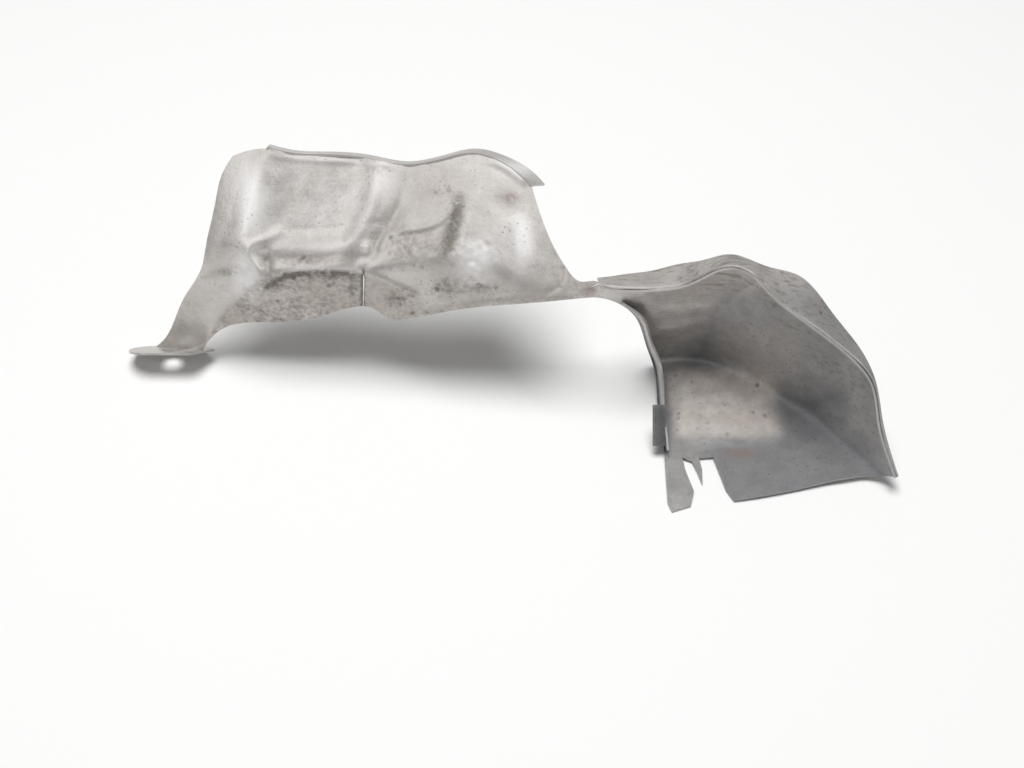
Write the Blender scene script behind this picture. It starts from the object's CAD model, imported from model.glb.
"""Exhaust heat shield, worn and torn, lying on a pale floor."""
from math import radians

import bpy
import numpy as np
from mathutils import Matrix, Vector
from mathutils.geometry import delaunay_2d_cdt


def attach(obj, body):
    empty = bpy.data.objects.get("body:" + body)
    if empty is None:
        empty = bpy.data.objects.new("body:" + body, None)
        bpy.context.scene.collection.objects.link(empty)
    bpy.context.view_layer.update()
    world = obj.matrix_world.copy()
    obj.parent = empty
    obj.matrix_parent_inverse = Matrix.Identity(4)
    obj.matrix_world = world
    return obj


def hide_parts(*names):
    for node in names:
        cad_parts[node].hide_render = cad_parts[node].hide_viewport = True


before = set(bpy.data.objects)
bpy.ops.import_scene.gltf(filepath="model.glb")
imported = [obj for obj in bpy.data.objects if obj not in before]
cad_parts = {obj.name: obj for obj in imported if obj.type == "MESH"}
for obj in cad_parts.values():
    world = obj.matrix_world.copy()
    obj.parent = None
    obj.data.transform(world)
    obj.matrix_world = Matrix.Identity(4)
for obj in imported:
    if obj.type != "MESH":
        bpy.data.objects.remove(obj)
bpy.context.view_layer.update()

# Press coordinates in mm: u along the shield, v up the pressing, w towards the open side of the scoop
press_u = (1.0, 0.0, 0.0)
press_v = (0.0, 1.0, 0.0)
sheet = 1.0
rest_pitch = 42.35
rest_roll = -1.15
rest_shift = np.array((4.592, -62.888, -2.498))
metre = 1000.0

# Gaps between mesh corners
grid_gap = 1.0
edge_gap = 1.0
crease_gap = 2.5
plate_gap = 1.6

# Row height and clearance to the border as shares of a gap, and the distance at which corners are joined
row_share = 0.866
border_share = 0.62
joined = 1e-5

# Cover
face_height = 5.6
face_rise = 0.075
front_slope = 1.1
front_slope_right = 0.62
front_change = -52.0
skirt_point = (-152.0, 112.0, -20.0)
skirt_slope = (0.515, 0.6)
cover_blend = 4.0
fold_blend = 1.3
hem_drop = 14.0
rib_height = 2.6
rib_width = 7.0
left_rib = -118.5
rib_lean = -0.32
rib_foot = 116.0
panel_depth = 1.4
panel_gap = 11.0
panel_right = -70.0
panel_foot = 126.0
panel_blend = 2.6
valley_depth = 1.6
valley_width = 6.0
valley_top = -50.0
valley_bow = 0.0095
valley_foot = 112.0
bulge_height = 6.5
bulge_place = (-18.0, 122.0)
bulge_size = (32.0, 30.0)
knuckle_height = 2.5
knuckle_place = (-132.0, 106.0)
knuckle_size = (9.0, 13.0)
dip_depth = 1.5
dip_place = (-120.0, 111.0)
dip_size = (5.5, 9.0)
channel_depth = 1.4
channel_span = (-126.0, -76.0)
channel_place = 5.2
channel_width = 3.6
top_line = 160.0

# Rolled sides of the cover: place, height and slope, and the height and fall at which the right one ends
left_roll = (-128.0, 2.5, 0.75)
top_roll = (161.0, 5.0, 0.4)
right_roll = (2.0, 9.0, 0.5)
right_rise = (9.0, 0.1)

# Scoop and neck
back_point = (43.8, 98.3, 8.0)
back_slope = 2.0
back_climb = (0.18, 0.25)
shoulder_point = (114.0, 100.6, 23.5)
shoulder_inward = (-0.64, -0.77)
shoulder_slope = 2.2
shoulder_fall = 0.1
side_point = (166.4, 56.9, 17.0)
side_inward = (-0.945, -0.33)
side_slope = 2.1
side_fall = 0.27
floor_lift = 4.0
floor_slope = 0.87
scoop_blend = 6.0
scoop_top = 29.0
pad_height = 5.0
pad_span = (79.0, 129.0)
pad_depth = (31.0, 64.0)
pad_blend = 2.6
neck_place = (41.0, 98.0)
neck_blend = 2.5
neck_spread = 0.08

# Tab, flanges, side wall and ear
tab_origin = (0.0, 74.0, -56.0)
tab_normal = (0.0, 0.985, 0.17)
tab_tip = -193.7
tab_depth = 22.0
tab_tuck = 4.0
tab_nose = 7.3
tab_shoulder = (-160.0, -151.0)
tip_sides = 24
hole_radius = 4.5
hole_place = (-172.7, -10.5)
hole_sides = 48
rim_lap = 0.8
rim_rows = 14
rim_unevenness = 0.4
back_lap = 0.5
back_drop = 10.0
back_lift = 3.0
back_rows = 10
back_unevenness = 0.3
wall_foot = 2.2
wall_inset = 1.0
wall_rows = 18
wall_unevenness = 0.4
ear_size = (6.5, 20.0)
ear_place = (71.2, 35.0, -12.0)

# Hills on the flanges and the side wall: distance and seed
strip_hills = (31.0, 21)

# Lower edge of the cover: u, v and w of its points
v_column = 1
w_column = 2
near_edge = np.array((
    (-200.0, 66.0, -52.0), (-157.0, 74.0, -43.0), (-146.0, 82.0, -38.0), (-115.0, 86.0, -29.0),
    (-88.0, 90.0, -22.0), (-73.0, 91.5, -19.0), (-59.0, 87.0, -20.0), (-34.0, 89.5, -8.0),
    (9.0, 93.5, 1.0), (38.0, 96.4, 7.5), (60.0, 98.5, 12.0), (200.0, 98.5, 12.0),
))

# Trimmed outline, clockwise from the tab, and the cuts in it: u and v
left_side = (
    (-183.5, 73.8), (-178.0, 77.5), (-163.5, 98.0), (-152.0, 111.5),
    (-147.5, 126.0), (-143.7, 140.5), (-140.0, 155.0), (-134.0, 164.5),
)
top_side = (
    (-134.0, 164.5), (-117.0, 167.4), (-106.0, 165.2), (-72.6, 163.0), (-50.0, 159.0),
    (-34.0, 161.3), (-21.0, 164.3), (-10.5, 162.5), (-1.0, 157.5), (9.5, 148.3),
)
right_side = (
    (9.5, 148.3), (12.4, 138.3), (18.5, 122.4), (26.0, 109.4), (33.0, 103.2), (38.0, 103.2), (42.0, 101.2),
)
rim = (
    (42.0, 101.2), (67.0, 99.9), (78.4, 101.2), (87.4, 104.7), (100.6, 109.0), (110.6, 105.2),
    (119.9, 96.5), (138.7, 81.8), (154.4, 69.8), (166.4, 56.9), (173.2, 35.8), (182.2, 11.0),
)
lip = ((182.2, 11.0), (169.9, 10.9), (155.7, 9.4), (136.7, 5.2), (117.5, 1.9), (105.2, 0.0))
torn = (
    (105.2, 0.0), (101.9, 5.0), (98.6, 16.4), (97.5, 20.0), (90.5, 19.5), (91.5, 14.0), (91.0, 7.2),
    (89.0, 13.5), (87.0, 18.0), (82.5, 19.6), (83.4, 13.6), (86.6, 4.1), (84.4, -2.4), (75.3, -5.1),
    (73.6, -1.0), (74.0, 23.0),
)
scoop_side = (
    (74.0, 23.0), (72.5, 47.0), (71.5, 66.0), (67.5, 74.4), (60.0, 87.4), (51.5, 93.1), (38.0, 96.0),
)
front_side = (
    (38.0, 96.0), (9.0, 93.5), (-23.0, 91.0), (-52.0, 86.5), (-58.8, 86.6), (-67.0, 91.5),
    (-88.0, 89.8), (-115.0, 85.7), (-146.0, 82.0), (-157.0, 71.5),
)
crack = ((34.5, 99.4), (41.2, 102.3), (41.8, 101.8))
slit = ((-70.7, 109.5), (-70.7, 105.0), (-73.2, 86.0), (-73.7, 86.0), (-71.4, 105.0))

# Outer edge of the rim's flange as u, v and drop, turned corner of the back flange, heights of the side wall
flange_edge = (
    (40.5, 105.3, 7.0), (66.0, 109.3, 12.0), (79.8, 112.0, 13.0), (90.0, 114.0, 13.0),
    (103.5, 115.6, 14.0), (117.0, 110.3, 14.0), (134.5, 105.9, 14.0), (149.7, 88.9, 13.0),
    (161.5, 73.8, 12.0), (170.0, 57.8, 11.0), (175.5, 38.5, 9.0), (183.6, 11.6, 4.0),
)
corner_edge = ((-8.0, 166.5), (5.0, 160.5), (16.0, 150.8))
side_heights = (7.0, 19.0, 20.0, 18.0, 11.0, 4.0)


def soft_min(first, second, blend):
    return -blend * np.logaddexp(-first / blend, -second / blend)


def soft_max(first, second, blend):
    return blend * np.logaddexp(first / blend, second / blend)


def step(value, blend):
    """Smooth rise from 0 to 1 around zero."""
    return 0.5 * (1.0 + np.tanh(0.5 * value / blend))


def bump(distance, width):
    return np.exp(-((distance / width) ** 2))


def between(value, span, blend):
    return step(value - span[0], blend) * step(span[1] - value, blend)


def lobe(u, v, place, size):
    return bump(u - place[0], size[0]) * bump(v - place[1], size[1])


def spots(u, v, marks):
    """Sum of soft spots, each with its place, half sizes and strength."""
    return sum(strength * lobe(u, v, place, size) for place, size, strength in marks)


def along(u, column):
    """Smooth value of the cover's lower edge at the places u."""
    place = np.clip(np.searchsorted(near_edge[:, 0], u) - 1, 1, len(near_edge) - 3)
    before, start, end, after = (near_edge[place + i] for i in (-1, 0, 1, 2))
    reach = end[..., 0] - start[..., 0]
    part = (u - start[..., 0]) / reach
    rise = end[..., column] - start[..., column]
    lead = (end[..., column] - before[..., column]) / (end[..., 0] - before[..., 0]) * reach
    trail = (after[..., column] - start[..., column]) / (after[..., 0] - start[..., 0]) * reach
    curve = start[..., column] + rise * part**2 * (3.0 - 2.0 * part)
    curve = curve + part * (1.0 - part) * (lead * (1.0 - part) - trail * part)
    return np.where(part < 0.0, start[..., column] + lead * part, curve)


def cover_walls(u, v):
    """Heights of the cover's front wall and skirt, and the slope of the front wall."""
    slope = front_slope + (front_slope_right - front_slope) * step(u - front_change, 2 * cover_blend)
    front = along(u, w_column) + slope * (v - along(u, v_column))
    skirt = skirt_point[2] + skirt_slope[0] * (u - skirt_point[0]) + skirt_slope[1] * (v - skirt_point[1])
    return front, skirt, slope


def cover_height(u, v):
    valley = valley_top - valley_bow * (top_line - v) ** 2
    crest = left_rib + rib_lean * (top_line - v)
    ribbed = step(v - rib_foot, cover_blend)
    face = face_height + face_rise * u
    face = face + rib_height * bump(u - crest, rib_width) * ribbed
    face = face + rib_height * bump(u - valley + 2 * valley_width, rib_width) * ribbed
    face = face - valley_depth * bump(u - valley, valley_width) * step(v - valley_foot, cover_blend)
    panel = between(u, (crest + panel_gap, panel_right), panel_blend)
    face = face - panel_depth * panel * step(v - panel_foot, panel_blend)
    face = face + bulge_height * lobe(u, v, bulge_place, bulge_size)
    face = face + knuckle_height * lobe(u, v, knuckle_place, knuckle_size)
    face = face - dip_depth * lobe(u, v, dip_place, dip_size)
    front, skirt, slope = cover_walls(u, v)
    ridge = along(u, v_column) + (face - along(u, w_column)) / slope
    channel = channel_depth * between(u, channel_span, cover_blend)
    face = face - channel * bump(v - ridge - channel_place, channel_width)
    left = left_roll[1] + left_roll[2] * (u - left_roll[0])
    top = top_roll[1] - top_roll[2] * (v - top_roll[0])
    right = right_roll[1] - right_roll[2] * (u - right_roll[0])
    right = soft_max(right, right_rise[0] - right_rise[1] * u, fold_blend)
    for side in (left, top, right):
        face = soft_min(face, side, cover_blend)
    face = soft_min(soft_min(face, skirt, fold_blend), front, fold_blend)
    return soft_max(face, along(u, w_column) - hem_drop, cover_blend)


def leaning_wall(u, v, point, inward, slope, fall):
    """Plane through a point of the rim, falling inwards and along the rim."""
    across = inward[0] * (u - point[0]) + inward[1] * (v - point[1])
    down_rim = -inward[1] * (u - point[0]) + inward[0] * (v - point[1])
    return point[2] - fall * down_rim - slope * across


def scoop_sides(u, v):
    """Heights of the scoop's floor, back, shoulder and right side."""
    rise = u - back_point[0]
    back = back_point[2] + back_climb[1] * rise + back_slope * (v - back_point[1] - back_climb[0] * rise)
    shoulder = leaning_wall(u, v, shoulder_point, shoulder_inward, shoulder_slope, shoulder_fall)
    side = leaning_wall(u, v, side_point, side_inward, side_slope, side_fall)
    height = floor_lift - floor_slope * v
    height = height + pad_height * between(u, pad_span, pad_blend) * between(v, pad_depth, pad_blend)
    return height, back, shoulder, side


def scoop_height(u, v):
    height, *inner = scoop_sides(u, v)
    for side in inner:
        height = soft_max(height, side, scoop_blend)
    return soft_min(height, scoop_top, fold_blend)


def form(u, v):
    """Height of the sheet's upper skin."""
    u, v = np.asarray(u, float), np.asarray(v, float)
    share = step(u - neck_place[0], neck_blend + neck_spread * np.abs(v - neck_place[1]))
    return (1.0 - share) * cover_height(u, v) + share * scoop_height(u, v)


def spline(points, gap=edge_gap, count=None):
    """Places along a smooth curve through a few points."""
    p = np.array(points, float)
    t = np.concatenate(([0.0], np.cumsum(np.linalg.norm(np.diff(p, axis=0), axis=1))))
    h = np.diff(t)
    d = np.diff(p, axis=0) / h[:, None]
    system = np.eye(len(p))
    rates = np.zeros_like(p)
    rates[0] = d[0] + (d[0] - d[1]) * h[0] / (h[0] + h[1])
    rates[-1] = d[-1] + (d[-1] - d[-2]) * h[-1] / (h[-1] + h[-2])
    for i in range(1, len(p) - 1):
        system[i, i - 1:i + 2] = h[i], 2 * (h[i - 1] + h[i]), h[i - 1]
        rates[i] = 3 * (h[i] * d[i - 1] + h[i - 1] * d[i])
    m = np.linalg.solve(system, rates)
    s = np.linspace(0.0, t[-1], count or int(t[-1] / gap) + 2)
    k = np.clip(np.searchsorted(t, s) - 1, 0, len(h) - 1)
    x = ((s - t[k]) / h[k])[:, None]
    hk = h[k][:, None]
    return (
        (1 + 2 * x) * (1 - x) ** 2 * p[k] + x * (1 - x) ** 2 * hk * m[k]
        + x * x * (3 - 2 * x) * p[k + 1] - x * x * (1 - x) * hk * m[k + 1]
    )


def polyline(points, gap=edge_gap):
    """Places along straight runs between points."""
    runs = [np.linspace(a, b, max(2, int(np.hypot(*(np.subtract(b, a))) / gap) + 1))[:-1]
            for a, b in zip(points[:-1], points[1:])]
    return np.concatenate(runs + [np.array(points[-1:], float)])


def inside(points, ring):
    """Which places lie inside a closed ring."""
    x, y = points[:, 0], points[:, 1]
    hit = np.zeros(len(points), bool)
    for (x0, y0), (x1, y1) in zip(ring, np.roll(ring, -1, axis=0)):
        if y0 == y1:
            continue
        crosses = (y0 > y) != (y1 > y)
        hit ^= crosses & (x < (x1 - x0) * (y - y0) / (y1 - y0) + x0)
    return hit


def inset(points, distance):
    """Points of an edge moved square to it, into the sheet."""
    p = np.array(points, float)
    run = p[np.minimum(np.arange(len(p)) + 1, len(p) - 1)] - p[np.maximum(np.arange(len(p)) - 1, 0)]
    reach = distance / np.hypot(run[:, 0], run[:, 1])
    return np.stack((p[:, 0] + run[:, 1] * reach, p[:, 1] - run[:, 0] * reach), axis=1)


def trace(u, v, line):
    """Distance from each place to a line, and the share of the line that lies before that spot."""
    far = np.full(np.shape(u), np.inf)
    spot = np.zeros(np.shape(u))
    for i, ((u0, v0), (u1, v1)) in enumerate(zip(line[:-1], line[1:])):
        du, dv = u1 - u0, v1 - v0
        share = np.clip(((u - u0) * du + (v - v0) * dv) / (du * du + dv * dv), 0.0, 1.0)
        gap = np.hypot(u - u0 - share * du, v - v0 - share * dv)
        spot = np.where(gap < far, i + share, spot)
        far = np.minimum(far, gap)
    return far, spot / (len(line) - 1)


def crease(u, v, path, width):
    """Rounded fold along a smooth path, fading out at both ends."""
    far, spot = trace(u, v, spline(path, crease_gap))
    return bump(far, width) * np.sqrt(4.0 * spot * (1.0 - spot))


def stripe(u, v, path, width):
    """Soft band of even strength along straight runs."""
    return bump(trace(u, v, path)[0], width)


def waves(u, v, length, seed):
    """Smooth uneven surface between about -1 and 1, with hills about one length apart."""
    rng = np.random.default_rng(seed)
    total = np.zeros(np.shape(u))
    for _ in range(wave_count):
        angle, phase = rng.uniform(0.0, 2 * np.pi, 2)
        pace = 2 * np.pi / length * rng.uniform(*wave_pace)
        total = total + np.sin(pace * (np.cos(angle) * u + np.sin(angle) * v) + phase)
    return total / wave_peak


# Paths of the creases and dents in the worn sheet
panel_line = ((-108.7, 129.2), (-90.0, 129.0), (-72.0, 130.3), (-58.0, 133.0))
knuckle_line = (
    (-108.7, 129.2), (-118.1, 124.0), (-125.7, 119.7), (-125.2, 114.5), (-121.4, 108.9), (-128.5, 100.4),
)
knuckle_dent = ((-119.0, 119.0), (-117.6, 112.6), (-118.6, 107.0))
valley_line = ((-53.9, 142.0), (-58.6, 131.5), (-64.3, 122.1), (-68.0, 114.5))
valley_bank = ((-58.5, 128.0), (-60.5, 124.0), (-63.3, 118.5))
patch_line = ((-59.0, 125.4), (-50.6, 127.8), (-42.0, 128.7), (-32.6, 132.5), (-26.0, 140.5))
patch_foot = ((-58.0, 121.8), (-50.0, 124.2), (-41.5, 125.2), (-34.0, 128.0))
smear_line = ((-24.0, 146.0), (-27.5, 130.0), (-32.0, 112.0))
smear_bank = ((-20.5, 136.0), (-22.0, 124.0), (-25.0, 112.0))
roll_line = ((0.0, 134.0), (4.7, 121.6), (9.0, 109.8))
fold_line = ((-71.0, 108.4), (-57.6, 102.7), (-43.5, 96.1))
fold_foot = ((-66.0, 101.0), (-60.0, 97.0), (-53.0, 94.0))
neck_arc = ((15.2, 97.8), (20.9, 100.2), (23.8, 103.6), (24.3, 107.8), (21.9, 110.2))
corner_line = ((-9.5, 161.0), (0.0, 155.5), (7.1, 149.0))
corner_groove = ((-13.0, 159.0), (-3.0, 153.5), (4.5, 147.0))
top_bead = ((-117.0, 164.8), (-106.0, 162.8), (-72.6, 160.6), (-50.0, 156.6))
hem_bead = ((30.0, 97.2), (9.0, 95.0), (-23.0, 92.5), (-46.0, 89.0))
upper_wrinkle = ((62.3, 90.1), (81.8, 90.5), (101.3, 93.0))
lower_wrinkle = ((70.0, 81.0), (84.0, 83.2), (93.0, 85.5))
shoulder_wrinkle = ((118.3, 103.2), (108.6, 99.8), (101.3, 92.5))
skirt_dent = ((-152.0, 108.0), (-143.0, 110.5), (-135.0, 110.0))
lip_bead = ((145.0, 6.0), (156.0, 8.6), (166.0, 12.0))
pad_fold = ((88.0, 26.0), (98.0, 28.0), (112.0, 26.0), (120.0, 29.0))
pad_groove = ((90.0, 21.0), (99.0, 23.5), (110.0, 22.0))

# Path, height and half width
creases = (
    (panel_line, -0.4, 1.8),
    (knuckle_line, 1.3, 2.4),
    (knuckle_dent, -1.6, 3.0),
    (valley_line, -0.7, 2.8),
    (valley_bank, 1.2, 2.6),
    (patch_line, 0.8, 1.6),
    (patch_foot, -0.4, 2.2),
    (smear_line, -1.0, 2.8),
    (smear_bank, 0.7, 2.4),
    (roll_line, 0.7, 4.5),
    (fold_line, 1.6, 1.7),
    (fold_foot, -1.8, 3.6),
    (neck_arc, -0.5, 1.2),
    (corner_line, 0.9, 1.4),
    (corner_groove, -0.8, 1.6),
    (top_bead, 0.6, 1.3),
    (hem_bead, 0.4, 1.2),
    (upper_wrinkle, 1.7, 2.2),
    (lower_wrinkle, 1.5, 2.0),
    (shoulder_wrinkle, -1.7, 2.4),
    (skirt_dent, -0.9, 2.0),
    (lip_bead, 0.7, 1.4),
    (pad_fold, 0.6, 1.3),
    (pad_groove, -0.6, 1.4),
)

# Place, half sizes and height
bumps = (
    ((-69.5, 119.7), (2.3, 2.3), 1.6),
    ((-71.2, 112.6), (2.0, 2.0), 0.8),
    ((-4.0, 139.0), (6.0, 6.0), -0.5),
    ((-46.0, 118.0), (5.0, 5.0), 0.6),
    ((112.0, 92.0), (9.0, 9.0), -0.8),
    ((-104.4, 92.4), (2.3, 2.3), 0.8),
    ((-110.5, 91.0), (2.8, 2.8), -0.9),
    ((-119.0, 89.5), (2.4, 2.4), 0.7),
    ((-128.0, 88.0), (3.0, 3.0), -0.7),
    ((-84.0, 96.0), (3.5, 3.5), 0.5),
)

# Waves that are added up to an uneven surface: how many, range of their pace, and usual height of the sum
wave_count = 9
wave_pace = (0.6, 1.5)
wave_peak = 4.0

# Unevenness of the whole sheet: height, distance between hills and seed
uneven = ((0.28, 34.0, 3), (0.1, 11.0, 5))

# Crinkled places with half sizes and share, and the crinkles and their groups with distance and seed
face_crinkles = (((-17.0, 114.0), (8.0, 10.0), 1.0), ((-46.0, 119.0), (11.0, 8.0), 0.6))
arch_crinkles = (((-105.0, 97.0), (35.0, 9.0), 0.5),)
arch_crinkle_end = -72.0
crinkle_height = 0.75
crinkle_hills = (5.5, 11)
crinkle_groups = (13.0, 12)
crinkle_share = (0.55, 0.45)


def relief(u, v):
    """Creases, dents, crinkles and unevenness of the worn sheet."""
    total = sum(height * waves(u, v, length, seed) for height, length, seed in uneven)
    for path, height, width in creases:
        total = total + height * crease(u, v, path, width)
    total = total + spots(u, v, bumps)
    crinkled = spots(u, v, face_crinkles) + spots(u, v, arch_crinkles) * step(arch_crinkle_end - u, 1.0)
    grouped = crinkle_share[0] + crinkle_share[1] * waves(u, v, *crinkle_groups)
    return total + crinkle_height * crinkled * waves(u, v, *crinkle_hills) * grouped


class Skin:
    """Collects the faces of the shield, with a mark for cut edges and for the hidden side."""

    def __init__(self):
        self.places, self.faces, self.edge, self.under, self.count = [], [], [], [], 0

    def add(self, places, faces, edge=0.0, under=0.0):
        places = np.asarray(places, float)
        self.places.append(places)
        self.faces += (np.asarray(faces) + self.count).tolist()
        self.edge.append(np.full(len(places), edge))
        self.under.append(np.full(len(places), under))
        self.count += len(places)

    def slab(self, upper, lower, faces, hidden=1.0):
        """Two skins and the cut edge between them."""
        faces = np.asarray(faces)
        self.add(upper, faces)
        self.add(lower, faces[:, ::-1], under=hidden)
        sides = np.concatenate([np.stack((faces[:, i], faces[:, (i + 1) % faces.shape[1]]), axis=1)
                                for i in range(faces.shape[1])])
        both = set(map(tuple, sides.tolist()))
        rims = np.array([(a, b) for a, b in both if (b, a) not in both])
        start, end = rims[np.lexsort((rims[:, 1], rims[:, 0]))].T
        quads = np.stack((upper[start], lower[start], lower[end], upper[end]), axis=1)
        self.add(quads.reshape(-1, 3), np.arange(4 * len(start)).reshape(-1, 4), edge=1.0)


def normals(places, faces):
    """Unit normals at the corners of a mesh of triangles or quads."""
    faces = np.asarray(faces)
    across = places[faces[:, 2]] - places[faces[:, 0]]
    if faces.shape[1] == 4:
        n = np.cross(across, places[faces[:, 3]] - places[faces[:, 1]])
    else:
        n = np.cross(places[faces[:, 1]] - places[faces[:, 0]], across)
    total = np.zeros_like(places)
    for i in range(faces.shape[1]):
        np.add.at(total, faces[:, i], n)
    return total / np.linalg.norm(total, axis=1)[:, None]


def fill(rings, gap):
    """Triangles between an outer ring and the rings cut out of it, on rows of staggered places."""
    border = np.concatenate(rings)
    low, high = rings[0].min(0), rings[0].max(0)
    rows = np.arange(low[1], high[1], gap * row_share)
    uu, vv = np.meshgrid(np.arange(low[0], high[0], gap), rows)
    uu = uu + (np.arange(len(rows)) % 2)[:, None] * gap / 2
    grid = np.stack((uu.ravel(), vv.ravel()), axis=1)
    grid = grid[inside(grid, rings[0])]
    keep = np.ones(len(grid), bool)
    for place in border:
        keep &= np.hypot(grid[:, 0] - place[0], grid[:, 1] - place[1]) > border_share * gap
    places = [Vector(p) for p in np.concatenate((border, grid[keep]))]
    edges, start = [], 0
    for ring in rings:
        edges += [(start + i, start + (i + 1) % len(ring)) for i in range(len(ring))]
        start += len(ring)
    made = delaunay_2d_cdt(places, edges, [], 0, joined)
    flat = np.array([tuple(p) for p in made[0]])
    faces = np.array([tuple(f) for f in made[2]])
    middle = flat[faces].mean(axis=1)
    kept = inside(middle, rings[0])
    for ring in rings[1:]:
        kept &= ~inside(middle, ring)
    faces = faces[kept]
    used = np.unique(faces)
    order = np.full(len(flat), -1)
    order[used] = np.arange(len(used))
    a, b, c = (flat[faces[:, i]] for i in range(3))
    turned = (b[:, 0] - a[:, 0]) * (c[:, 1] - a[:, 1]) - (b[:, 1] - a[:, 1]) * (c[:, 0] - a[:, 0])
    return flat[used], order[np.where((turned > 0)[:, None], faces, faces[:, ::-1])]


def strip(skin, first, second, towards, rows, unevenness):
    """Thin ruled strip between two edges, thickened to one side."""
    count = int(np.linalg.norm(np.diff(np.array(first), axis=0), axis=1).sum() / grid_gap)
    a, b = spline(first, count=count), spline(second, count=count)
    share = np.linspace(0.0, 1.0, rows)[:, None, None]
    places = ((1 - share) * a[None] + share * b[None]).reshape(-1, 3)
    r, i = np.meshgrid(np.arange(rows - 1), np.arange(count - 1), indexing="ij")
    k = (r * count + i).ravel()
    faces = np.stack((k, k + 1, k + count + 1, k + count), axis=1)
    n = normals(places, faces)
    if np.dot(n.mean(0), towards) < 0:
        faces, n = faces[:, ::-1], -n
    held = np.sin(np.pi * np.clip(share, 0.0, 0.5)).repeat(count, axis=1).reshape(-1, 1)
    places = places + unevenness * held * waves(places[:, 0], places[:, 2], *strip_hills)[:, None] * n
    skin.slab(places + sheet * n, places, faces, hidden=0.0)


def plate(skin, rings, corner, along_dir, up_dir):
    """Flat plate with holes, one sheet thick below its plane."""
    flat, faces = fill(rings, plate_gap)
    along_dir, up_dir = (np.array(d) / np.linalg.norm(d) for d in (along_dir, up_dir))
    upper = np.array(corner) + flat[:, :1] * along_dir + flat[:, 1:] * up_dir
    skin.slab(upper, upper - sheet * np.cross(along_dir, up_dir), faces, hidden=0.0)


def arc(centre, radius, start, end, count):
    angle = np.linspace(start, end, count)
    return np.stack((centre[0] + radius * np.cos(angle), centre[1] + radius * np.sin(angle)), axis=1)


def pressed_sheet(skin):
    """Cover, neck and scoop inside the trimmed outline, with the slit and the crack."""
    runs = [spline(left_side), spline(top_side), spline(right_side), spline(rim), spline(lip), polyline(torn),
            spline(scoop_side), spline(front_side), polyline((front_side[-1], left_side[0]))]
    outline = np.concatenate([run[:-1] for run in runs])
    cuts = [polyline(ring + ring[:1])[:-1] for ring in (slit, crack)]
    flat, faces = fill([outline] + cuts, grid_gap)
    upper = np.column_stack((flat, form(flat[:, 0], flat[:, 1]) + relief(flat[:, 0], flat[:, 1])))
    skin.slab(upper, upper - sheet * normals(upper, faces), faces)


def rim_flange(skin):
    """Wide band folded back along the scoop's rim."""
    fold = np.column_stack((inset(rim, rim_lap), form(*np.array(rim).T) + rim_lap))
    outer = [(u, v, edge[2] - drop) for (u, v, drop), edge in zip(flange_edge, fold)]
    strip(skin, fold, outer, (0, -1, -1), rim_rows, rim_unevenness)


def back_flange(skin):
    """Band folded down along the cover's top, with a turned corner on the right."""
    top = np.array(top_side[1:])
    fold = np.column_stack((top[:, 0], top[:, 1] + back_lap, form(*top.T) + back_lap))
    turned = len(corner_edge)
    outer = [(u, v + back_lift, w - back_drop) for u, v, w in fold[:-turned]]
    outer += [(u, v, edge[2] - back_drop) for (u, v), edge in zip(corner_edge, fold[-turned:])]
    strip(skin, fold, outer, (0, -1, 0), back_rows, back_unevenness)


def scoop_left_wall(skin):
    """Narrow wall that stands on the scoop's left edge."""
    side = np.array(scoop_side[:-1])
    foot = np.column_stack((side[:, 0] + wall_inset, side[:, 1], form(*side.T) - wall_foot))
    head = np.column_stack((side[:, 0] + wall_inset, side[:, 1], form(*side.T) + side_heights))
    strip(skin, foot, head, (1, 0, 0), wall_rows, wall_unevenness)


def bolt_tab(skin):
    """Flat tab with a round tip and a bolt hole at the foot of the skirt."""
    half = (tab_tuck + tab_depth) / 2
    reach = tab_depth / 2
    radius = (reach**2 + half**2) / (2 * reach)
    swing = np.arcsin(half / radius)
    middle = (tab_tip + radius, (tab_tuck - tab_depth) / 2)
    tip = arc(middle, radius, np.pi - swing, np.pi + swing, tip_sides)
    shoulder, end = tab_shoulder
    nose = np.array(((shoulder, -tab_depth), (end, -tab_nose), (shoulder, tab_tuck)))
    ring = polyline([tuple(p) for p in np.concatenate((tip, nose, tip[:1]))], plate_gap)[:-1]
    hole = arc(hole_place, hole_radius, 2 * np.pi, 2 * np.pi / hole_sides, hole_sides)
    plate(skin, [ring, hole], tab_origin, press_u, np.cross(tab_normal, press_u))


def ear_plate(skin):
    """Small ear beside the scoop's left wall."""
    wide, tall = ear_size[0] / 2, ear_size[1] / 2
    corners = [(-wide, -tall), (wide, -tall), (wide, tall), (-wide, tall)]
    ring = polyline(corners + corners[:1], plate_gap)[:-1]
    plate(skin, [ring], (ear_place[0], ear_place[1], ear_place[2] + sheet), press_u, press_v)


turn = Matrix.Rotation(radians(rest_pitch), 3, "X") @ Matrix.Rotation(radians(rest_roll), 3, "Y")


def resting(points):
    """Press coordinates in mm as metres in the frame, where the shield lies on the floor."""
    return (np.asarray(points) @ np.array(turn).T + rest_shift) / metre


skin = Skin()
for piece in (pressed_sheet, rim_flange, back_flange, scoop_left_wall, bolt_tab, ear_plate):
    piece(skin)
places = np.concatenate(skin.places)
mesh = bpy.data.meshes.new("heat_shield_visual")
mesh.from_pydata(resting(places).tolist(), [], skin.faces)
mesh.polygons.foreach_set("use_smooth", np.ones(len(mesh.polygons), bool))
shield = bpy.data.objects.new("heat_shield_visual", mesh)
bpy.context.scene.collection.objects.link(shield)
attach(shield, "root")
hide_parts("heat_shield")

# How far a mark's border spreads
sharp = 0.25
crisp = 0.5
clear = 1.3
soft = 2.5
faint = 6.0

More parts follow.
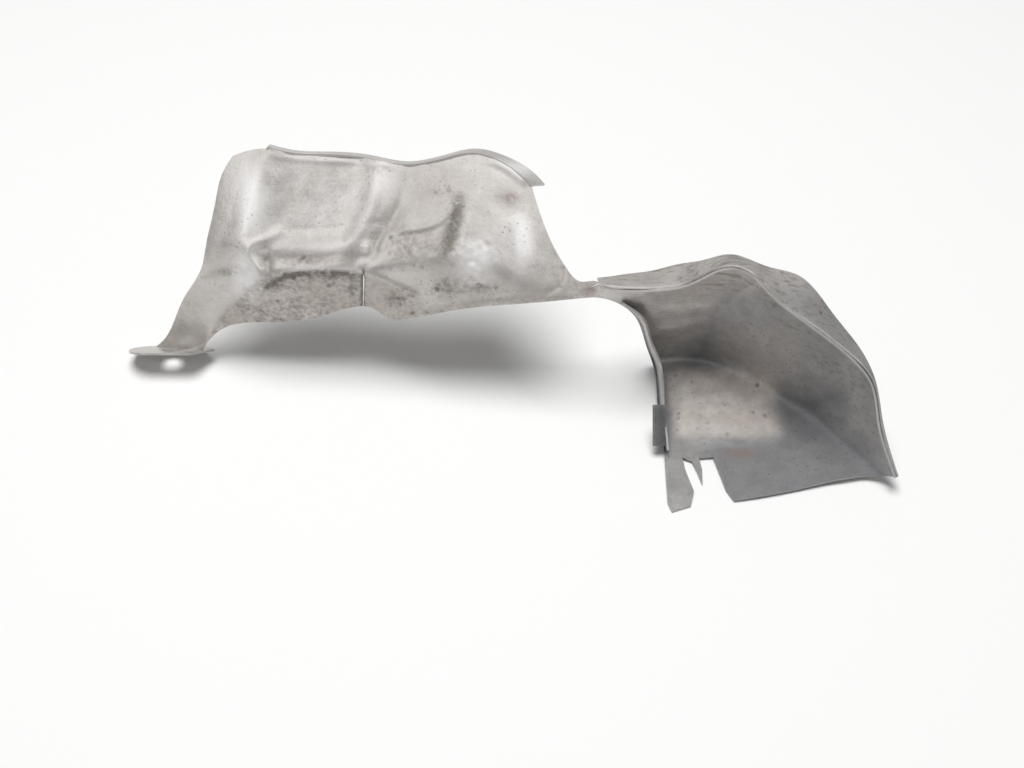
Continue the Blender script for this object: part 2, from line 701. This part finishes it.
# Limits of the marked areas
cover_end = 44.0
arch_end = -70.0
facet_span = (-71.0, -44.0)
facet_top = 108.0
facet_fall = 0.37
hem_span = (-150.0, 36.0)
hem_width = 3.0
hem_shine_width = 0.8
lower_span = (-46.0, 30.0)
lower_top = 108.0
band_lift = 0.5
hollow_start = 46.0
hollow_top = 100.0
hollow_lift = 3.0
dust_span = (80.0, 131.0)
dust_depth = (29.5, 62.0)
floor_front = 27.0
strip_end = 95.0
left_corner = (84.0, 70.0)
left_lean = 0.6
side_start = 50.0
ear_span = (67.5, 75.0)
ear_depth = (24.5, 45.5)
ear_level = -11.5
ear_reach = 1.2

# Where marks on the rim's flange start: height v, its fall per mm and the place u from which it falls
film_start = (100.0, 0.9, 110.0)
band_start = (98.0, 1.1, 112.0)

# Brown film by area, in spots of place, half sizes and strength, and in lines of path, width and strength
facet_film = 0.9
lower_film = 0.3
hem_film = 0.3
cover_film = 0.3
flange_film = 0.5
hidden_film = 0.25
film_spots = (
    ((-97.0, 115.0), (16.0, 1.8), 0.7),
    ((-45.0, 119.0), (12.0, 8.0), 0.8),
    ((-36.0, 148.0), (15.0, 12.0), 0.5),
    ((-92.0, 145.0), (22.0, 14.0), -0.2),
)
film_lines = ((knuckle_dent, 3.0, 0.6), (valley_line, 3.0, 0.5))

# Dirt, in the same way
arch_soil = 0.12
hem_soil = 0.3
arch_shade = ((-124.0, 98.5), (-109.0, 106.4), (-98.0, 108.2), (-84.0, 108.5), (-72.5, 106.5))
soil_lines = ((arch_shade, 1.1, 0.9), (smear_line, 4.0, 1.1))
slit_shade = (slit[0], slit[4], slit[3])
slit_shade_width = 1.1
stains = (
    ((-66.0, 156.5), (6.0, 2.0), 0.5),
    ((-139.0, 109.5), (8.0, 3.0), 0.6),
    ((-118.0, 112.0), (3.0, 6.0), 0.35),
    ((-96.0, 113.5), (17.0, 2.2), 0.55),
    ((-50.0, 121.0), (11.0, 8.0), 0.35),
    ((-33.0, 99.0), (8.0, 4.0), 0.45),
    ((-14.0, 100.0), (10.0, 3.0), 0.7),
    ((-30.0, 103.0), (7.0, 4.0), 0.5),
    ((22.0, 105.0), (5.0, 8.0), 0.35),
    ((32.0, 100.0), (6.0, 4.0), 0.35),
    ((-77.0, 101.0), (3.0, 5.0), 0.6),
    ((-85.0, 106.5), (8.0, 1.6), 0.6),
    ((-100.0, 107.0), (12.0, 1.8), 0.6),
    ((-90.0, 96.0), (5.0, 3.0), 0.35),
    ((-106.0, 93.0), (5.0, 3.0), 0.4),
    ((-121.0, 90.0), (5.0, 3.0), 0.4),
    ((-132.0, 92.0), (6.0, 3.0), 0.3),
    ((-112.0, 102.5), (8.0, 2.5), 0.5),
    ((-56.0, 96.0), (8.0, 3.0), 0.55),
    ((86.0, 118.0), (9.0, 4.0), 0.3),
    ((144.0, 89.0), (6.0, 10.0), 0.5),
    ((124.0, 104.0), (8.0, 5.0), 0.35),
    ((122.0, 51.0), (5.0, 3.0), 0.8),
    ((112.0, 44.0), (8.0, 4.0), 0.3),
    ((100.0, 33.0), (12.0, 2.0), 0.4),
)
rust_spots = (
    ((-0.5, 143.0), (4.5, 3.5), 1.0),
    ((111.0, 21.0), (8.0, 2.2), 0.9),
    ((37.0, 99.0), (4.0, 3.0), 0.6),
    ((118.0, 38.0), (5.0, 2.0), 0.4),
    ((6.0, 150.0), (2.5, 2.5), 0.5),
)

# Places rubbed bright
ridge_line = (
    (-131.0, 96.5), (-124.0, 100.4), (-109.0, 108.4), (-100.0, 109.6), (-75.0, 109.8), (-71.0, 108.4),
)
ridge_width = 0.9
ridge_shine = 0.6
hem_shine = 0.4
rubbed = (
    ((-125.0, 143.0), (6.0, 16.0), 1.3),
    ((-62.0, 150.0), (4.5, 10.0), 0.8),
    ((5.0, 123.0), (4.5, 13.0), 1.3),
    ((-128.5, 106.0), (6.0, 10.0), 1.4),
    ((-17.0, 114.0), (9.0, 9.0), 1.3),
    ((4.0, 158.0), (9.0, 6.0), 0.9),
    ((-44.0, 116.0), (6.0, 4.0), 0.6),
    ((-69.5, 119.7), (2.2, 2.2), 0.8),
    ((-94.0, 120.5), (17.0, 2.2), 0.4),
)

# Soot in the scoop, where it is thinner, and the dust on the pad with its scratches
wall_soot = 0.56
floor_soot = 0.34
bend_soot = 0.4
front_soot = 0.05
side_soot = 0.5
side_soot_width = 2.0
hidden_soot = 0.2
corner_soot = (((143.0, 36.0), (6.0, 7.0), 0.4),)
left_thinning = 0.5
strip_thinning = 0.3
pad_thinning = 0.95
streak_thinning = 0.3
light_streak = ((157.0, 66.0), (162.0, 50.0), (166.0, 36.0))
streak_width = 3.5
scratch_depth = 0.8
scratched = (
    ((130.5, 41.0), (1.6, 4.0), 1.0),
    ((82.0, 52.0), (1.6, 4.0), 0.8),
    ((98.0, 31.5), (9.0, 0.8), 0.7),
)


def lines(u, v, marks):
    """Sum of soft lines, each with its path, half width and strength."""
    return sum(strength * crease(u, v, path, width) for path, width, strength in marks)


def past(u, v, start, blend):
    """Rise across the line where a flange mark starts."""
    top, fall, place = start
    return step(v - top + fall * np.maximum(u - place, 0.0), blend)


def cover_marks(u, v):
    """Film, dirt, rust and shine of the outer side."""
    front, skirt, _ = cover_walls(u, v)
    on_cover = 1.0 - step(u - cover_end, soft)
    face = np.minimum(face_height + face_rise * u, skirt)
    arch = step(face - front - crisp, crisp) * step(arch_end - u, crisp) * on_cover
    facet_edge = facet_top - facet_fall * (u - facet_span[0])
    facet = between(u, facet_span, clear) * step(facet_edge - v, clear) * on_cover
    above_hem = v - along(u, v_column)
    hem = bump(above_hem, hem_width) * between(u, hem_span, faint) * on_cover
    lower = step(lower_top - v, faint) * between(u, lower_span, faint)
    flange = step(u - cover_end, clear) * past(u, v, film_start, soft)
    film = arch + facet_film * facet + lower_film * lower + hem_film * hem + cover_film * on_cover
    film = film + flange_film * flange + spots(u, v, film_spots) + lines(u, v, film_lines)
    soil = spots(u, v, stains) + lines(u, v, soil_lines) + hem_soil * hem + arch_soil * arch
    soil = soil + stripe(u, v, slit_shade, slit_shade_width)
    shine = spots(u, v, rubbed) + ridge_shine * stripe(u, v, ridge_line, ridge_width)
    shine = shine + hem_shine * bump(above_hem, hem_shine_width) * on_cover
    return {"film": film, "soil": soil, "rust": spots(u, v, rust_spots), "shine": shine}


def scoop_marks(u, v, w):
    """Soot and dust inside the scoop."""
    pad = between(u, dust_span, clear) * between(v, dust_depth, clear)
    hollow = step(u - hollow_start, soft) * step(hollow_top - v, soft)
    hollow = hollow * step(form(u, v) + hollow_lift - w, soft)
    sides = scoop_sides(u, v)
    bend = np.clip(scoop_height(u, v) - np.max(sides, axis=0), 0.0, None) / scoop_blend
    on_floor = step(sides[0] - np.max(sides[1:], axis=0), soft)
    front = step(floor_front - v, soft)
    left = step(left_corner[0] - u + left_lean * (v - left_corner[1]), faint)
    soot = wall_soot + floor_soot * on_floor + bend_soot * bend + front_soot * front
    soot = soot - left_thinning * left - strip_thinning * front * step(strip_end - u, soft)
    soot = soot + spots(u, v, corner_soot) - streak_thinning * stripe(u, v, light_streak, streak_width)
    soot = hollow * (1.0 - pad_thinning * pad) * np.clip(soot, 0.0, 1.0)
    soot = soot + side_soot * stripe(u, v, scoop_side, side_soot_width) * step(u - side_start, soft)
    return {"soot": soot, "dust": hollow * pad * (1.0 - scratch_depth * spots(u, v, scratched))}


def shield_marks(u, v, w, hidden):
    """Every mark's strength at the corners of the mesh. The hidden side is plain."""
    made = {**cover_marks(u, v), **scoop_marks(u, v, w)}
    made = {name: values * (1.0 - hidden) for name, values in made.items()}
    made["film"] = made["film"] + hidden_film * hidden
    made["soot"] = made["soot"] + hidden_soot * hidden
    made["ear"] = between(u, ear_span, sharp) * between(v, ear_depth, sharp) * bump(w - ear_level, ear_reach)
    below = step(form(u, v) - w + band_lift, sharp)
    made["band"] = step(u - cover_end, clear) * below * past(u, v, band_start, clear)
    return made


marks = shield_marks(*places.T, np.concatenate(skin.under))
marks["edge"] = np.concatenate(skin.edge)
for name, values in marks.items():
    strength = np.clip(values, 0.0, 1.0).astype(np.float32)
    mesh.attributes.new(name, "FLOAT", "POINT").data.foreach_set("value", strength)
press = (places / metre).astype(np.float32)
mesh.attributes.new("press", "FLOAT_VECTOR", "POINT").data.foreach_set("vector", press.ravel())


class Nodes:
    """Short way to lay out shader nodes."""

    def __init__(self, tree):
        self.tree = tree

    def feed(self, node, values):
        """Give a node's inputs their values or links."""
        for name, value in values.items():
            if isinstance(value, bpy.types.NodeSocket):
                self.tree.links.new(value, node.inputs[name])
            else:
                node.inputs[name].default_value = value

    def make(self, kind, values=None, out=0, **settings):
        made = self.tree.nodes.new(kind)
        for name, value in settings.items():
            setattr(made, name, value)
        self.feed(made, values or {})
        return made.outputs[out]

    def math(self, kind, first, second=0.0, clamp=False):
        return self.make("ShaderNodeMath", {0: first, 1: second}, operation=kind, use_clamp=clamp)

    def total(self, start, *shares, clamp=False):
        """A start value plus further values, each times its weight."""
        for value, weight in shares:
            start = self.make("ShaderNodeMath", {0: value, 1: weight, 2: start}, operation="MULTIPLY_ADD")
        return self.math("ADD", start, clamp=True) if clamp else start

    def ramp(self, value, low, high):
        """Rise from 0 to 1 between two values."""
        return self.make("ShaderNodeMapRange", {"Value": value, "From Min": low, "From Max": high})

    def broken(self, mark, texture, low, high):
        """A mark that shows only where a texture is strong."""
        return self.math("MULTIPLY", mark, self.ramp(texture, low, high), clamp=True)

    def blend(self, share, first, second):
        """Colour between two colours."""
        return self.make("ShaderNodeMix", {0: share, 6: first, 7: second}, out=2, data_type="RGBA")

    def coat(self, base, mark, strength, tint):
        """Colour with another laid over it where a mark is."""
        return self.blend(self.math("MULTIPLY", mark, strength, clamp=True), base, tint)

    def mark(self, name):
        return self.make("ShaderNodeAttribute", out=2, attribute_name=name)

    def noise(self, places, scale, detail, rough):
        values = {"Vector": places, "Scale": scale, "Detail": detail, "Roughness": rough}
        return self.make("ShaderNodeTexNoise", values)

    def cells(self, places, scale):
        return self.make("ShaderNodeTexVoronoi", {"Vector": places, "Scale": scale})

    def facing(self, way, direction):
        """Cosine of the angle between two directions."""
        return self.make("ShaderNodeVectorMath", {0: way, 1: direction}, out=1, operation="DOT_PRODUCT")


# Colours
dull_steel = (0.50, 0.477, 0.455, 1.0)
pale_steel = (0.79, 0.767, 0.745, 1.0)
bright_steel = (0.95, 0.94, 0.93, 1.0)
cut_steel = (0.46, 0.45, 0.44, 1.0)
film_brown = (0.325, 0.280, 0.245, 1.0)
soot_black = (0.112, 0.121, 0.138, 1.0)
dark_mud = (0.10, 0.084, 0.072, 1.0)
dry_mud = (0.22, 0.195, 0.172, 1.0)
dark_ash = (0.38, 0.335, 0.305, 1.0)
pale_ash = (0.52, 0.47, 0.435, 1.0)
rust_brown = (0.17, 0.085, 0.066, 1.0)
speck_brown = (0.075, 0.058, 0.05, 1.0)
score_brown = (0.19, 0.172, 0.158, 1.0)
ear_black = (0.035, 0.037, 0.04, 1.0)
floor_white = (0.86, 0.86, 0.855, 1.0)
backdrop_white = (0.97, 0.965, 0.96, 1.0)

# Textures: hills or cells per metre, detail and roughness
broad_noise = (38.0, 4.0, 0.55)
cloud_noise = (150.0, 6.0, 0.62)
fine_noise = (430.0, 5.0, 0.6)
grain_noise = (900.0, 3.0, 0.55)
drawn_noise = (1.0, 3.0, 0.6)
drawn_scale = (35.0, 420.0, 420.0)
speck_scale = 330.0
pit_scale = 150.0

# Surfaces of the clean sheet and of the floor
clean_rough = 0.27
clean_metal = 0.78
bump_strength = 0.6
bump_height = 0.0006
floor_rough = 0.85
floor_gloss = 0.2


def steel():
    """Satin aluminised sheet with film, soot, dirt, dust, rust, specks and scratches."""
    made = bpy.data.materials.new("aluminised_steel")
    made.use_nodes = True
    n = Nodes(made.node_tree)
    press = n.make("ShaderNodeAttribute", out=1, attribute_name="press")
    drawn = n.make("ShaderNodeMapping", {"Vector": press, "Scale": drawn_scale})
    broad, cloud = n.noise(press, *broad_noise), n.noise(press, *cloud_noise)
    fine, grain = n.noise(press, *fine_noise), n.noise(press, *grain_noise)
    scores = n.noise(drawn, *drawn_noise)
    film, soot, soil, dust = n.mark("film"), n.mark("soot"), n.mark("soil"), n.mark("dust")
    rust, shine, edge = n.mark("rust"), n.mark("shine"), n.mark("edge")

    tone = n.total(0.0, (broad, 0.3), (cloud, 0.35), (fine, 0.175), (grain, 0.175), (scores, 0.1))
    base = n.blend(n.ramp(tone, 0.42, 0.68), dull_steel, pale_steel)
    base = n.coat(base, shine, 0.9, bright_steel)
    patch = n.total(0.0, (cloud, 0.45), (fine, 0.55))
    smoky = n.broken(film, patch, 0.20, 0.62)
    base = n.coat(base, smoky, 0.78, film_brown)
    base = n.coat(base, soot, 1.0, soot_black)
    dirt = n.broken(soil, n.total(patch, (soil, 0.18)), 0.48, 0.66)
    base = n.coat(base, dirt, 0.85, n.blend(n.ramp(grain, 0.3, 0.7), dark_mud, dry_mud))
    settled = n.broken(dust, cloud, 0.10, 0.36)
    base = n.coat(base, settled, 0.9, n.blend(n.ramp(cloud, 0.35, 0.65), dark_ash, pale_ash))
    rusty = n.broken(rust, cloud, 0.35, 0.6)
    base = n.coat(base, rusty, 0.85, rust_brown)
    small = n.broken(n.ramp(n.cells(press, speck_scale), 0.24, 0.12), broad, 0.42, 0.62)
    marked = n.total(0.0, (film, 0.5), (dust, 1.0), (soil, 1.0), clamp=True)
    pits = n.ramp(n.cells(press, pit_scale), 0.28, 0.16)
    specks = n.math("MULTIPLY", pits, n.broken(marked, cloud, 0.46, 0.58))
    specks = n.math("MAXIMUM", n.math("MULTIPLY", small, 0.55), specks)
    base = n.coat(base, specks, 0.75, speck_brown)
    base = n.coat(base, n.broken(n.mark("band"), scores, 0.5, 0.66), 0.6, score_brown)
    base = n.coat(base, n.mark("ear"), 0.95, ear_black)
    base = n.coat(base, edge, 0.5, cut_steel)

    covered = n.total(0.0, (dirt, 1.0), (settled, 1.0), (rusty, 1.0), clamp=True)
    rough = n.total(
        clean_rough, (cloud, 0.16), (smoky, 0.12), (covered, 0.36), (soot, 0.30), (shine, -0.06), clamp=True)
    metal = n.total(clean_metal, (covered, -0.72), (shine, -0.6), (soot, -0.45), clamp=True)
    height = n.total(0.0, (patch, 0.8), (grain, 0.3), (specks, -0.25))
    surface = {"Height": height, "Strength": bump_strength, "Distance": bump_height}
    looks = {"Base Color": base, "Roughness": rough, "Metallic": metal}
    looks["Normal"] = n.make("ShaderNodeBump", surface)
    n.feed(made.node_tree.nodes["Principled BSDF"], looks)
    return made


def floor_paint():
    """Dull white."""
    made = bpy.data.materials.new("floor_white")
    made.use_nodes = True
    looks = {"Base Color": floor_white, "Roughness": floor_rough, "Specular IOR Level": floor_gloss}
    Nodes(made.node_tree).feed(made.node_tree.nodes["Principled BSDF"], looks)
    return made


mesh.materials.append(steel())

# Floor and lamp in metres and watts, directions of the viewer and of two windows
floor_size = 6.0
lamp_size = 1.2
lamp_power = 41.0
lamp_place = (-0.1, 0.04, 2.05)
viewer = (0.0, -0.674, 0.739)
windows = ((-0.64, -0.52, 0.57), (0.64, -0.52, 0.57))

# Camera in mm, with its eye in press coordinates
lens_length = 54.0
sensor_width = 36.0
eye_in_press = (0.0, 55.0, 731.0)

bpy.ops.mesh.primitive_plane_add(size=floor_size, location=(0.0, 0.0, 0.0))
floor = bpy.context.object
floor.name = "floor"
floor.data.materials.append(floor_paint())

# The lamp isn't mirrored in the steel, which mirrors the studio instead
lamp_data = bpy.data.lights.new("ceiling_light", "AREA")
lamp_data.shape = "DISK"
lamp_data.size = lamp_size
lamp_data.energy = lamp_power
lamp = bpy.data.objects.new("ceiling_light", lamp_data)
lamp.location = lamp_place
lamp.rotation_euler = Vector(lamp_place).to_track_quat("Z", "Y").to_euler()
lamp.visible_glossy = False
bpy.context.scene.collection.objects.link(lamp)


def studio():
    """White to the camera, a dim fill to dull surfaces, and to the steel a sky with two windows.

    The sky that the steel mirrors is dimmer where the viewer stands.
    """
    made = bpy.data.worlds.new("studio")
    made.use_nodes = True
    n = Nodes(made.node_tree)
    way = n.make("ShaderNodeTexCoord")
    up = n.ramp(n.make("ShaderNodeSeparateXYZ", {0: way}, out=2), -0.1, 1.0)
    aside = n.ramp(n.facing(way, viewer), 1.0, 0.78)
    mirrored = n.total(
        0.12, (up, 0.42), (n.math("POWER", up, 3.0), 0.40), (n.math("MULTIPLY", aside, up), 0.46))
    for window in windows:
        mirrored = n.total(mirrored, (n.ramp(n.facing(way, window), 0.91, 0.98), 0.75))
    fill_light = n.total(0.14, (up, 0.16))
    glossy_ray = n.make("ShaderNodeLightPath", out="Is Glossy Ray")
    glow = n.make("ShaderNodeMix", {0: glossy_ray, 2: fill_light, 3: mirrored}, data_type="FLOAT")
    grey = n.make("ShaderNodeCombineColor", {0: glow, 1: glow, 2: glow})
    shown = n.blend(n.make("ShaderNodeLightPath", out="Is Camera Ray"), grey, backdrop_white)
    n.feed(made.node_tree.nodes["Background"], {"Color": shown, "Strength": 1.0})
    return made


bpy.context.scene.world = studio()

lens = bpy.data.cameras.new("camera")
lens.sensor_width = sensor_width
lens.lens = lens_length
camera = bpy.data.objects.new("camera", lens)
camera.matrix_world = Matrix.Translation(resting(eye_in_press)) @ turn.to_4x4()
bpy.context.scene.collection.objects.link(camera)
bpy.context.scene.camera = camera
bpy.context.scene.view_settings.view_transform = "Standard"
